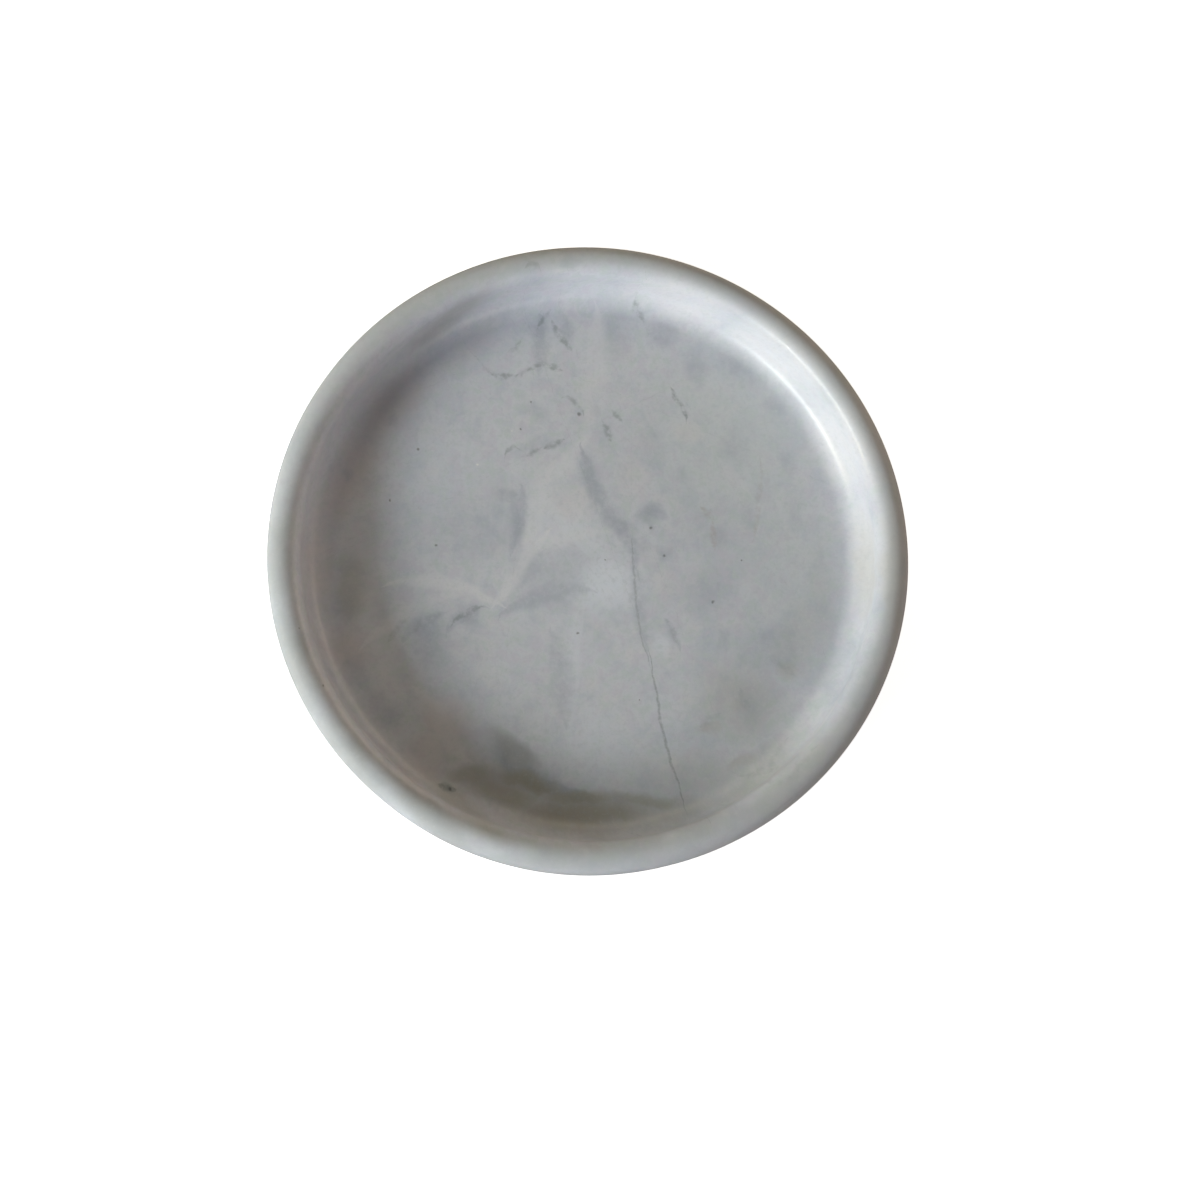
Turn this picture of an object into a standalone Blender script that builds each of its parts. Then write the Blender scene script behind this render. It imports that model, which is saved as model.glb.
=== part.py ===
"""A round marble jewelry plate that stands on four felt pads.

The plate is turned from one block of stone: a flat floor, a cove, a short upright
wall and a full round rim outside it. Its underside is flat, with a rounded foot,
and four felt discs are stuck there by a thin film of adhesive.

Lengths are in metres and +Z is up. The origin is on the plate's axis, at the
height of the surface that the pads stand on. The front is the -Y side.
"""
import math

import bmesh
import bpy

# The stone plate
PLATE_DIAMETER = 0.180
WALL_THICKNESS = 0.0092
INSIDE_DEPTH = 0.0160
FLOOR_THICKNESS = 0.0080
COVE_RADIUS = 0.0072
FOOT_RADIUS = 0.0090

# The felt pads under it
PAD_DIAMETER = 0.0160
PAD_THICKNESS = 0.0030
PAD_EDGE_ROUND = 0.0005
PAD_INSET = 0.0060
ADHESIVE_FILM = 0.0003

# A fillet takes at most this share of the straight height that it has
FILLET_SHARE = 0.92

# How finely the round shapes are cut
TURNED_STEPS = 96
COVE_SEGMENTS = 9
RIM_SEGMENTS = 18
FOOT_SEGMENTS = 8
PAD_SIDES = 40
PAD_EDGE_SEGMENTS = 2
MERGE_DISTANCE = 0.00001
SMOOTH_BELOW_DEGREES = 40

# Base colour, roughness and metallic value of each finish
MARBLE = ((0.56, 0.57, 0.59, 1.0), 0.22, 0.0)
FELT = ((0.30, 0.29, 0.27, 1.0), 0.95, 0.0)

# Where each pad sits, in degrees round from +X
PAD_PLACES = {
    "felt_pad_back_right": 45,
    "felt_pad_back_left": 135,
    "felt_pad_front_left": 225,
    "felt_pad_front_right": 315,
}

# Heights and radii that follow from the sizes above
OUTER_RADIUS = PLATE_DIAMETER / 2
INNER_RADIUS = OUTER_RADIUS - WALL_THICKNESS
RIM_RADIUS = WALL_THICKNESS / 2
BASE_HEIGHT = PAD_THICKNESS + ADHESIVE_FILM
FLOOR_HEIGHT = BASE_HEIGHT + FLOOR_THICKNESS
CREST_HEIGHT = FLOOR_HEIGHT + INSIDE_DEPTH


def clear_scene():
    """Removes whatever the open file holds."""
    for thing in list(bpy.data.objects):
        bpy.data.objects.remove(thing, do_unlink=True)


def new_collection(name):
    """Adds a collection to the scene."""
    collection = bpy.data.collections.new(name)
    bpy.context.scene.collection.children.link(collection)
    return collection


def new_material(name, finish):
    """Makes a plain material with one colour, roughness and metallic value."""
    colour, roughness, metallic = finish
    material = bpy.data.materials.new(name)
    material.use_nodes = True
    shader = material.node_tree.nodes["Principled BSDF"]
    shader.inputs["Base Color"].default_value = colour
    shader.inputs["Roughness"].default_value = roughness
    shader.inputs["Metallic"].default_value = metallic
    return material


def new_object(name, mesh, material, collection):
    """Puts a mesh in the collection as an object with smooth round faces."""
    mesh.shade_smooth()
    mesh.set_sharp_from_angle(angle=math.radians(SMOOTH_BELOW_DEGREES))
    mesh.materials.append(material)
    piece = bpy.data.objects.new(name, mesh)
    collection.objects.link(piece)
    return piece


def arc(centre, radius, start, end, segments):
    """Points along an arc of the section, both ends included, angles in degrees."""
    points = []
    for step in range(segments + 1):
        angle = math.radians(start + (end - start) * step / segments)
        across = centre[0] + radius * math.cos(angle)
        up = centre[1] + radius * math.sin(angle)
        points.append((across, up))
    return points


def cove_radius():
    """The inner fillet, kept within the height that the rim leaves to it."""
    return min(COVE_RADIUS, (INSIDE_DEPTH - RIM_RADIUS) * FILLET_SHARE)


def foot_radius():
    """The outer fillet at the base, kept within the height below the rim."""
    return min(FOOT_RADIUS, (CREST_HEIGHT - RIM_RADIUS - BASE_HEIGHT) * FILLET_SHARE)


def plate_section():
    """Half of the plate's section, from its axis out over the rim and back.

    The line runs along the floor, up the cove and the inner wall, over the round
    rim, down the outer wall, round the foot and back under the base.
    """
    cove = cove_radius()
    foot = foot_radius()
    floor_line = arc((INNER_RADIUS - cove, FLOOR_HEIGHT + cove), cove, -90, 0, COVE_SEGMENTS)
    rim_line = arc((OUTER_RADIUS - RIM_RADIUS, CREST_HEIGHT - RIM_RADIUS), RIM_RADIUS, 180, 0, RIM_SEGMENTS)
    foot_line = arc((OUTER_RADIUS - foot, BASE_HEIGHT + foot), foot, 0, -90, FOOT_SEGMENTS)
    return [(0, FLOOR_HEIGHT), *floor_line, *rim_line, *foot_line, (0, BASE_HEIGHT)]


def section_mesh(name, section):
    """A chain of edges in the XZ plane, one vertex for each point of a section."""
    mesh = bpy.data.meshes.new(name)
    form = bmesh.new()
    chain = [form.verts.new((across, 0, up)) for across, up in section]
    for first, second in zip(chain, chain[1:]):
        form.edges.new((first, second))
    form.to_mesh(mesh)
    form.free()
    return mesh


def build_plate(collection):
    """Turns the plate's section about the Z axis."""
    mesh = section_mesh("marble_dish", plate_section())
    plate = new_object("marble_dish", mesh, new_material("marble", MARBLE), collection)
    turn = plate.modifiers.new("turn", "SCREW")
    turn.axis = "Z"
    turn.angle = math.tau
    turn.steps = TURNED_STEPS
    turn.render_steps = TURNED_STEPS
    turn.use_merge_vertices = True
    turn.merge_threshold = MERGE_DISTANCE
    turn.use_smooth_shade = True
    return plate


def pad_mesh():
    """A short felt cylinder about its own centre."""
    mesh = bpy.data.meshes.new("felt_pad")
    form = bmesh.new()
    bmesh.ops.create_cone(
        form,
        cap_ends=True,
        segments=PAD_SIDES,
        radius1=PAD_DIAMETER / 2,
        radius2=PAD_DIAMETER / 2,
        depth=PAD_THICKNESS,
    )
    form.to_mesh(mesh)
    form.free()
    return mesh


def pad_ring_radius():
    """How far from the axis a pad's centre lies, inside the flat of the base."""
    flat_radius = OUTER_RADIUS - foot_radius()
    return flat_radius - PAD_INSET - PAD_DIAMETER / 2


def build_pads(collection):
    """Sets a felt pad under each quarter of the base."""
    felt = new_material("felt", FELT)
    ring = pad_ring_radius()
    for name, degrees in PAD_PLACES.items():
        pad = new_object(name, pad_mesh(), felt, collection)
        angle = math.radians(degrees)
        pad.location = (ring * math.cos(angle), ring * math.sin(angle), PAD_THICKNESS / 2)
        edge = pad.modifiers.new("soft_edge", "BEVEL")
        edge.width = PAD_EDGE_ROUND
        edge.segments = PAD_EDGE_SEGMENTS
        edge.limit_method = "ANGLE"
        edge.angle_limit = math.radians(SMOOTH_BELOW_DEGREES)


def main():
    clear_scene()
    collection = new_collection("jewelry_plate")
    build_plate(collection)
    build_pads(collection)
    bpy.context.view_layer.update()


main()
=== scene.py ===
# %% [markdown]
# # A marble jewelry plate, seen almost from above
#
# The real plate is one block of pale grey marble, turned on a lathe and polished,
# that stands on four stuck-on felt pads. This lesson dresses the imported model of
# it: the stone gets a finely turned surface and a stone pattern that runs right
# through the block, and the pads get real felt. The frame is loaded first, because
# every size below is read from it.

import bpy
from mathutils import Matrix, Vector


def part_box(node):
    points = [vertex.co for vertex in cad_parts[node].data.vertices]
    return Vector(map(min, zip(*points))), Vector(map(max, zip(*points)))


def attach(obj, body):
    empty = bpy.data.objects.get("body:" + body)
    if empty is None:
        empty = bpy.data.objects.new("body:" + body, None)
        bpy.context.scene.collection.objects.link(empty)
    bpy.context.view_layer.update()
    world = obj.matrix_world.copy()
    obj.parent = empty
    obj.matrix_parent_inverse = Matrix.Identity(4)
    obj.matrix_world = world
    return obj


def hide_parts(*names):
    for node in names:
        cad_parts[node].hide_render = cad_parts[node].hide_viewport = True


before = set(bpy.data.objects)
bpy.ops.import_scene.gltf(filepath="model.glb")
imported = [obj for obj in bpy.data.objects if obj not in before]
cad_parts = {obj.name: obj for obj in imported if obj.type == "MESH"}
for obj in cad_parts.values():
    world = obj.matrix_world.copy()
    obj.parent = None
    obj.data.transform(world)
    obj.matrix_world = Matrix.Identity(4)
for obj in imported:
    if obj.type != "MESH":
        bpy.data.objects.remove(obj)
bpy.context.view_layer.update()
print("nodes in the frame:", sorted(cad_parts))

# %% [markdown]
# ## Sizes
#
# The scene's own pieces must lie where the solids are, so their sizes are measured
# on the dish node and never typed again. The node's corners give its height and
# width, the furthest corner at one height tells how far a flat face reaches, and
# a ray shot sideways under the rim finds the inner wall.

# %% Measure the dish
import math
import random

import bmesh
import bpy
from mathutils import Matrix, Vector, noise
from mathutils.bvhtree import BVHTree

MILLIMETRE = 0.001
HEIGHT_SLACK = 0.01 * MILLIMETRE
UPRIGHT_SHARE = 0.58  # of the inside's depth, where the inner wall stands upright

dish_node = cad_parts["marble_dish"]
dish_low, dish_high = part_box("marble_dish")
dish_surface = BVHTree.FromPolygons(
    [vertex.co for vertex in dish_node.data.vertices],
    [face.vertices for face in dish_node.data.polygons],
)


def flat_reach(height):
    """The largest radius among the dish's corners at one height."""
    level = [v.co for v in dish_node.data.vertices if abs(v.co.z - height) < HEIGHT_SLACK]
    return max(math.hypot(place.x, place.y) for place in level)


def first_hit(start, direction):
    """Where a ray from start first meets the dish."""
    place = dish_surface.ray_cast(Vector(start), Vector(direction))[0]
    if place is None:
        raise RuntimeError("the ray missed the dish")
    return place


outer_radius = dish_high.x
base_height = dish_low.z
crest_height = dish_high.z
floor_height = first_hit((MILLIMETRE, MILLIMETRE, crest_height + MILLIMETRE), (0, 0, -1)).z
wall_middle = floor_height + (crest_height - floor_height) * UPRIGHT_SHARE
inner_radius = first_hit((0, 0, wall_middle), (1, 0, 0)).x
rim_radius = (outer_radius - inner_radius) / 2
cove_radius = inner_radius - flat_reach(floor_height)
foot_radius = outer_radius - flat_reach(base_height)
print(f"outer radius {outer_radius * 1000:.2f} mm, inner radius {inner_radius * 1000:.2f} mm")
print(f"floor {floor_height * 1000:.2f} mm, crest {crest_height * 1000:.2f} mm")
print(f"cove {cove_radius * 1000:.2f} mm, foot {foot_radius * 1000:.2f} mm")

# %% [markdown]
# ## The turned stone
#
# A turner cuts the plate with a few straight passes and a few swings of the tool.
# The section can be drawn the same way: one vertex is the tool's tip, extruding it
# makes a straight run, and spinning it about a centre leaves an arc behind. That
# keeps every curve a true arc, where bevelling a boxy section would leave the
# full-round rim to the luck of two bevels meeting.

# %% Draw with a tool tip
FLOOR_RINGS = 16
WALL_RINGS = 3
COVE_STEPS = 14
RIM_STEPS = 28
FOOT_STEPS = 12


def cut_to(form, tip, across, up, steps):
    """Moves the tip in a straight line to a new place, leaving even steps behind."""
    start = tip.co.copy()
    goal = Vector((across, 0, up))
    for step in range(1, steps + 1):
        tip = bmesh.ops.extrude_vert_indiv(form, verts=[tip])["verts"][0]
        tip.co = start.lerp(goal, step / steps)
    return tip


def swing(form, tip, across, up, degrees, steps):
    """Swings the tip round a centre in the XZ plane, leaving an arc behind."""
    made = bmesh.ops.spin(
        form, geom=[tip], cent=(across, 0, up), axis=(0, 1, 0), angle=math.radians(degrees), steps=steps
    )
    return made["geom_last"][0]


def draw_section(form):
    """The dish's half section, from the axis out over the rim and back under."""
    tip = form.verts.new((0, 0, floor_height))
    tip = cut_to(form, tip, inner_radius - cove_radius, floor_height, FLOOR_RINGS)
    tip = swing(form, tip, inner_radius - cove_radius, floor_height + cove_radius, -90, COVE_STEPS)
    tip = cut_to(form, tip, inner_radius, crest_height - rim_radius, WALL_RINGS)
    tip = swing(form, tip, outer_radius - rim_radius, crest_height - rim_radius, 180, RIM_STEPS)
    tip = cut_to(form, tip, outer_radius, base_height + foot_radius, WALL_RINGS)
    tip = swing(form, tip, outer_radius - foot_radius, base_height + foot_radius, 90, FOOT_STEPS)
    cut_to(form, tip, 0, base_height, FLOOR_RINGS)


print("steps in the cove, the rim and the foot:", COVE_STEPS, RIM_STEPS, FOOT_STEPS)

# %% [markdown]
# The section is then spun once round the axis. The two ends of the line lie on the
# axis, so their copies are merged into one vertex each and the shell is closed.
# Its faces are turned outwards after that, because a spin may leave them inside out.

# %% Turn the section about the axis
TURN_STEPS = 288


def turned_form():
    """A bmesh with the whole turned dish in it."""
    form = bmesh.new()
    draw_section(form)
    line = form.verts[:] + form.edges[:]
    bmesh.ops.spin(
        form, geom=line, cent=(0, 0, 0), axis=(0, 0, 1), angle=math.tau, steps=TURN_STEPS, use_merge=True
    )
    bmesh.ops.remove_doubles(form, verts=form.verts, dist=HEIGHT_SLACK)
    bmesh.ops.recalc_face_normals(form, faces=form.faces)
    return form


stone_form = turned_form()
print("the turned form has", len(stone_form.verts), "vertices")

# %% [markdown]
# ## The hand-polished surface
#
# After the lathe the stone is rubbed down by hand, so its faces are never quite
# even, and a window's reflection wanders a little on them. A bump in the material
# could fake that, but it wouldn't show in the mesh. So each vertex is pressed in
# along its normal by less than a tenth of a millimetre of smooth noise, and only
# inwards, which keeps the stone inside the solid's own box.

# %% Press in the surface a little
POLISH_DEPTH = 0.09 * MILLIMETRE
POLISH_WAVE = 26 * MILLIMETRE


def polish_by_hand(form):
    """Presses every vertex in along its normal by slow, shallow noise."""
    form.normal_update()
    moves = []
    for vertex in form.verts:
        share = 0.5 + 0.5 * noise.noise(vertex.co / POLISH_WAVE)
        moves.append(vertex.normal * (-POLISH_DEPTH * share))
    for vertex, move in zip(form.verts, moves):
        vertex.co += move


def in_scene(name, data):
    """A new object in the scene that holds a mesh, curve, camera or light."""
    made = bpy.data.objects.new(name, data)
    bpy.context.scene.collection.objects.link(made)
    return made


def mesh_from(form, name):
    """Makes a bmesh a mesh and frees it."""
    mesh = bpy.data.meshes.new(name)
    form.to_mesh(mesh)
    form.free()
    return mesh


def piece_from(form, name):
    """Makes a bmesh a smooth-shaded object that rides on the plate's body."""
    piece = in_scene(name, mesh_from(form, name))
    piece.data.shade_smooth()
    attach(piece, "root")
    return piece


polish_by_hand(stone_form)
stone = piece_from(stone_form, "turned_marble_plate")
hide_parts("marble_dish")
print("turned_marble_plate:", len(stone.data.polygons), "faces")

# %% [markdown]
# ## The felt pads
#
# Each pad is a disc punched from pressed wool, so it has a soft edge, a surface
# that is never flat, and loose fibres that stand out of its cut side. The disc
# starts as a cylinder whose caps are inset into rings, gets its edge from a bevel
# and its unevenness from noise. It stays inside the box of the node that it
# replaces, and its lower face stays level, because the plate's weight presses it.

# %% Shape a felt disc
PAD_NODES = sorted(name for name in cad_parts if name.startswith("felt_pad"))
PAD_SIDES = 72
PAD_RINGS = 12
PAD_SIDE_CUTS = 5
PAD_EDGE = 0.5 * MILLIMETRE
PAD_EDGE_STEPS = 4
FELT_DEPTH = 0.16 * MILLIMETRE
FELT_WAVE = 0.9 * MILLIMETRE
FELT_NOISE = (0.6, 2.1, 3)  # roughness, step from layer to layer, layers


def punched_disc(middle, radius, depth, edge, edge_steps):
    """A bmesh of a round disc with its two edges bevelled."""
    form = bmesh.new()
    place = Matrix.Translation(middle)
    bmesh.ops.create_cone(
        form, cap_ends=True, segments=PAD_SIDES, radius1=radius, radius2=radius, depth=depth, matrix=place
    )
    rims = [e for e in form.edges if abs(e.verts[0].co.z - e.verts[1].co.z) < HEIGHT_SLACK]
    bmesh.ops.bevel(
        form, geom=rims, affect="EDGES", offset=edge, segments=edge_steps, profile=0.5, material=-1
    )
    return form


def felt_disc(low, high):
    """A bmesh of a soft-edged disc that fills a box, fine enough to be roughened."""
    radius = (high.x - low.x) / 2
    form = punched_disc((low + high) / 2, radius, high.z - low.z, PAD_EDGE, PAD_EDGE_STEPS)
    caps = [f for f in form.faces if len(f.verts) == PAD_SIDES]
    for _ in range(PAD_RINGS):
        bmesh.ops.inset_individual(form, faces=caps, thickness=radius / (PAD_RINGS + 2))
    bmesh.ops.poke(form, faces=caps)
    sides = [e for e in form.edges if abs(e.verts[0].co.z - e.verts[1].co.z) > PAD_EDGE]
    bmesh.ops.subdivide_edges(form, edges=sides, cuts=PAD_SIDE_CUTS)
    return form


def rough_up(form, low, high):
    """Presses the felt in by fine noise, except under its weight-bearing face."""
    form.normal_update()
    for vertex in form.verts:
        held = 1 - min(max(-vertex.normal.z, 0), 1)
        share = 0.5 + 0.5 * noise.fractal(vertex.co / FELT_WAVE, *FELT_NOISE)
        vertex.co -= vertex.normal * (FELT_DEPTH * held * min(max(share, 0), 1))


print("pads to shape:", PAD_NODES)

# %% [markdown]
# Loose fibres are thin, bent threads. Each starts just inside the cut side of the
# disc and leans out of it at its own angle. A fibre is a curve with a fine bevel,
# and all the fibres of a pad are made one mesh. The random numbers come from a seed
# of the pad's own, so that every run grows the same felt.

# %% Grow loose fibres
FIBRES = 420
FIBRE_RADIUS = 0.022 * MILLIMETRE
FIBRE_LENGTH = 1.3 * MILLIMETRE
FIBRE_POINTS = 5
FIBRE_SHORTENING = (0.5, 1.0)
FIBRE_LEAN = (0.05, 0.55)
FIBRE_LEAN_CHANGE = (-0.45, 0.25)
FIBRE_RISE = (-0.45, 0.45)
FIBRE_RISE_CHANGE = (-0.5, 0.5)


def fibre_points(low, high, dice):
    """Points along one bent fibre that leaves a pad's side."""
    middle = (low + high) / 2
    radius = (high.x - low.x) / 2
    turn = dice.uniform(0, math.tau)
    height = dice.uniform(low.z + PAD_EDGE, high.z - PAD_EDGE)
    outward = Vector((math.cos(turn), math.sin(turn), 0))
    along = Vector((-outward.y, outward.x, 0)) * dice.choice((-1, 1))
    place = Vector((middle.x, middle.y, height)) + outward * (radius - FELT_DEPTH)
    lean = dice.uniform(*FIBRE_LEAN)
    rise = dice.uniform(*FIBRE_RISE)
    step = FIBRE_LENGTH * dice.uniform(*FIBRE_SHORTENING) / FIBRE_POINTS
    points = [place.copy()]
    for _ in range(FIBRE_POINTS - 1):
        heading = (along + outward * lean + Vector((0, 0, rise))).normalized()
        place = place + heading * step
        place.z = min(max(place.z, low.z + FIBRE_RADIUS * 2), high.z - FIBRE_RADIUS * 2)
        points.append(place.copy())
        lean += dice.uniform(*FIBRE_LEAN_CHANGE)
        rise += dice.uniform(*FIBRE_RISE_CHANGE)
    return points


def fibre_mesh(low, high, seed):
    """A mesh of all the loose fibres of one pad."""
    dice = random.Random(seed)
    curve = bpy.data.curves.new("fibres", "CURVE")
    curve.dimensions = "3D"
    curve.bevel_depth = FIBRE_RADIUS
    curve.bevel_resolution = 0
    curve.use_fill_caps = True
    for _ in range(FIBRES):
        points = fibre_points(low, high, dice)
        strand = curve.splines.new("POLY")
        strand.points.add(len(points) - 1)
        for knot, place in zip(strand.points, points):
            knot.co = (*place, 1)
    holder = in_scene("fibres", curve)
    bpy.context.view_layer.update()
    graph = bpy.context.evaluated_depsgraph_get()
    mesh = bpy.data.meshes.new_from_object(holder.evaluated_get(graph))
    bpy.data.objects.remove(holder)
    bpy.data.curves.remove(curve)
    return mesh


print("each pad grows", FIBRES, "fibres")

# %% [markdown]
# A pad's disc and its fibres become one mesh, which takes the node's place.

# %% Make the four felt pads
FIBRE_SLACK = HEIGHT_SLACK / 10


def felt_pad(node, seed):
    """The felt disc and its fibres, standing for one pad node."""
    low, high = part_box(node)
    form = felt_disc(low, high)
    rough_up(form, low, high)
    fibres = fibre_mesh(low, high, seed)
    form.from_mesh(fibres)
    bpy.data.meshes.remove(fibres)
    bmesh.ops.remove_doubles(form, verts=form.verts, dist=FIBRE_SLACK)
    bmesh.ops.recalc_face_normals(form, faces=form.faces)
    piece = piece_from(form, node.replace("felt_pad", "wool_pad"))
    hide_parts(node)
    return piece


pads = [felt_pad(node, seed) for seed, node in enumerate(PAD_NODES)]
print("felt pads:", [pad.name for pad in pads], "of", len(pads[0].data.polygons), "faces")

# %% [markdown]
# ## The adhesive film
#
# The solids keep a gap between each pad and the stone. On the real plate that gap
# is the pad's film of clear adhesive, so a thin disc fills it here, a little
# smaller than the felt, as a punched pad's film is.

# %% Fill the gap with adhesive
FILM_INSET = 0.35 * MILLIMETRE
FILM_EDGE = 0.06 * MILLIMETRE
FILM_EDGE_STEPS = 2


def adhesive_film(node):
    """A thin disc from a pad's top up to the stone's base."""
    low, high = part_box(node)
    middle = Vector(((low.x + high.x) / 2, (low.y + high.y) / 2, (high.z + base_height) / 2))
    radius = (high.x - low.x) / 2 - FILM_INSET
    form = punched_disc(middle, radius, base_height - high.z, FILM_EDGE, FILM_EDGE_STEPS)
    piece = piece_from(form, node.replace("felt_pad", "adhesive_film"))
    return piece


films = [adhesive_film(node) for node in PAD_NODES]
print("adhesive films:", [film.name for film in films])

# %% [markdown]
# ## The camera
#
# The camera comes before the stone's pattern, because the pattern is read off the
# photograph through it. The plate's outline in the photograph is not quite a
# circle: it is about two in a hundred wider than it is high, its far inner wall
# shows broad and its near one hides under the lip. So the camera looked down from
# a little in front, about 13 degrees off the plate's axis and five radii away. The
# lens follows from the plate's size in the picture, and a small shift puts the
# plate where the photograph has it.

# %% Set up the camera
PICTURE_SIDE = 1200
PLATE_MIDDLE_X = 590.65
PLATE_MIDDLE_Y = 548.07
PLATE_RADIUS_PIXELS = 320.54
CAMERA_RADII = 5.0
CAMERA_TILT = 13.0
CAMERA_SIDE = -103.0
SENSOR_WIDTH = 36.0


def camera_axes():
    """The camera's right, up and back directions, with the picture's top towards +Y."""
    tilt = math.radians(CAMERA_TILT)
    side = math.radians(CAMERA_SIDE)
    back = Vector((math.sin(tilt) * math.cos(side), math.sin(tilt) * math.sin(side), math.cos(tilt)))
    right = Vector((0, 1, 0)).cross(back).normalized()
    return right, back.cross(right), back


camera = bpy.data.cameras.new("camera")
camera_reach = CAMERA_RADII * outer_radius
half_view = PICTURE_SIDE / 2 / PLATE_RADIUS_PIXELS * outer_radius
camera.sensor_width = SENSOR_WIDTH
camera.lens = SENSOR_WIDTH / 2 * camera_reach / half_view
camera.shift_x = (PICTURE_SIDE / 2 - PLATE_MIDDLE_X) / PICTURE_SIDE
camera.shift_y = (PLATE_MIDDLE_Y - PICTURE_SIDE / 2) / PICTURE_SIDE
camera.dof.use_dof = False
right, up, back = camera_axes()
widest_level = Vector((0, 0, crest_height - rim_radius))
camera_stand = in_scene("camera", camera)
turn = Matrix((right, up, back)).transposed().to_4x4()
camera_stand.matrix_world = Matrix.Translation(widest_level + back * camera_reach) @ turn
bpy.context.scene.camera = camera_stand
print(f"lens {camera.lens:.1f} mm, shift {camera.shift_x:.3f} and {camera.shift_y:.3f}")

# %% [markdown]
# ## Shader sums as plain Python
#
# A stone pattern is arithmetic on places in the block. Typed as nodes, that
# arithmetic is hard to read, so one small class wraps a socket and turns each
# Python operator into a Math node.

# %% Wrap a socket in arithmetic
class Wire:
    """One output socket; sums on it add Math nodes to its material."""

    def __init__(self, bench, socket):
        self.bench = bench
        self.socket = socket

    def __add__(self, other):
        return self.bench.sum("ADD", self, other)

    __radd__ = __add__

    def __mul__(self, other):
        return self.bench.sum("MULTIPLY", self, other)

    __rmul__ = __mul__

    def __sub__(self, other):
        return self.bench.sum("SUBTRACT", self, other)

    def __rsub__(self, other):
        return self.bench.sum("SUBTRACT", other, self)

    def __truediv__(self, other):
        return self.bench.sum("DIVIDE", self, other)

    def __abs__(self):
        return self.bench.sum("ABSOLUTE", self)

    def at_most(self, other):
        return self.bench.sum("MINIMUM", self, other)

    def at_least(self, other):
        return self.bench.sum("MAXIMUM", self, other)

    def within(self, low, high, first=0.0, last=1.0):
        """A soft step: the first value below low, the last one above high."""
        return self.bench.node(
            "ShaderNodeMapRange",
            {"interpolation_type": "SMOOTHSTEP"},
            {"Value": self, "From Min": low, "From Max": high, "To Min": first, "To Max": last},
        )


print("wires can be added and multiplied")

# %% [markdown]
# A second class holds the node tree of a material or of the sky. Its one method for
# any other node takes the node's type, its settings and what its sockets get, and
# shorter methods call it for the nodes that are needed again and again.

# %% Hold a node tree
class Bench:
    """The node tree of a material or a sky, and the ways to put nodes in it."""

    def __init__(self, owner):
        owner.use_nodes = True
        self.owner = owner
        self.tree = owner.node_tree
        self.shader = self.tree.nodes.get("Principled BSDF")

    def node(self, kind, settings=None, inputs=None, output=0):
        """Adds a node: its settings first, then the values or wires of its sockets."""
        made = self.tree.nodes.new(kind)
        for key, value in (settings or {}).items():
            if key == "points":
                self.set_points(made.mapping, value)
            else:
                setattr(made, key, value)
        for key, value in (inputs or {}).items():
            self.feed(made.inputs[key], value)
        return Wire(self, made.outputs[output])

    def feed(self, socket, value):
        """Links a wire to a socket, or sets the socket's own value."""
        if isinstance(value, Wire):
            self.tree.links.new(value.socket, socket)
        else:
            socket.default_value = value

    def set_points(self, mapping, points):
        """Gives a float curve its points, each a place along and a value."""
        curve = mapping.curves[0]
        mapping.use_clip = False
        while len(curve.points) < len(points):
            curve.points.new(1.0, 0.0)
        for point, place in zip(curve.points, points):
            point.location = place
        mapping.update()

    def sum(self, operation, first, second=None):
        """One Math node on two wires or numbers."""
        inputs = {0: first}
        if second is not None:
            inputs[1] = second
        return self.node("ShaderNodeMath", {"operation": operation}, inputs)

    def move(self, operation, *vectors, scale=None, output=0):
        """One Vector Math node."""
        inputs = dict(enumerate(vectors))
        if scale is not None:
            inputs["Scale"] = scale
        return self.node("ShaderNodeVectorMath", {"operation": operation}, inputs, output)

    def blend(self, share, first, second):
        """One Mix node on two colours."""
        return self.node("ShaderNodeMix", {"data_type": "RGBA"}, {0: share, 6: first, 7: second}, 2)

    def cloud(self, place, scale, detail=3.0, roughness=0.5, distortion=0.0, output=0):
        """One Noise Texture node, in bumps per millimetre."""
        inputs = {"Vector": place, "Scale": scale, "Detail": detail}
        inputs |= {"Roughness": roughness, "Distortion": distortion}
        return self.node("ShaderNodeTexNoise", {}, inputs, output)

    def bump(self, height, strength, distance):
        """One Bump node, for the shader's normal."""
        inputs = {"Height": height, "Strength": strength, "Distance": distance}
        return self.node("ShaderNodeBump", {}, inputs)

    def place(self):
        """Object coordinates, in metres."""
        return self.node("ShaderNodeTexCoord", output=3)

    def dress(self, inputs):
        """Feeds the main shader's sockets and gives back the material."""
        for key, value in inputs.items():
            self.feed(self.shader.inputs[key], value)
        return self.owner


print("ready to mix materials")

# %% [markdown]
# ## The marble's pattern
#
# Marble is lime mud that was baked and sheared, so its clouds and veins run right
# through the block. The pattern is therefore a sum on Object coordinates, in
# millimetres, and leans with height, so that a vein on the floor goes on up the
# wall at a slant. What the photograph shows clearly is given as listed spots and
# strokes, and noise fills in the rest. To place them, a ray goes from the camera
# through a point of the picture to the stone, and the slant is taken off there.

# %% Find a point of the picture on the stone
PER_MILLIMETRE = 1000.0
LEAN_ACROSS = 0.35
LEAN_UP = -0.22
PIXEL_STEP = 100


def on_stone(across, down):
    """Where a point of the picture, in pixels, lies in the pattern, in millimetres."""
    x = (across / PICTURE_SIDE - 0.5 + camera.shift_x) * SENSOR_WIDTH
    y = (0.5 - down / PICTURE_SIDE + camera.shift_y) * SENSOR_WIDTH
    ray = (right * x + up * y - back * camera.lens).normalized()
    place = first_hit(camera_stand.matrix_world.translation, ray)
    height = place.z - floor_height
    flat = Vector((place.x - height * LEAN_ACROSS, place.y - height * LEAN_UP))
    return flat * PER_MILLIMETRE


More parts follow.
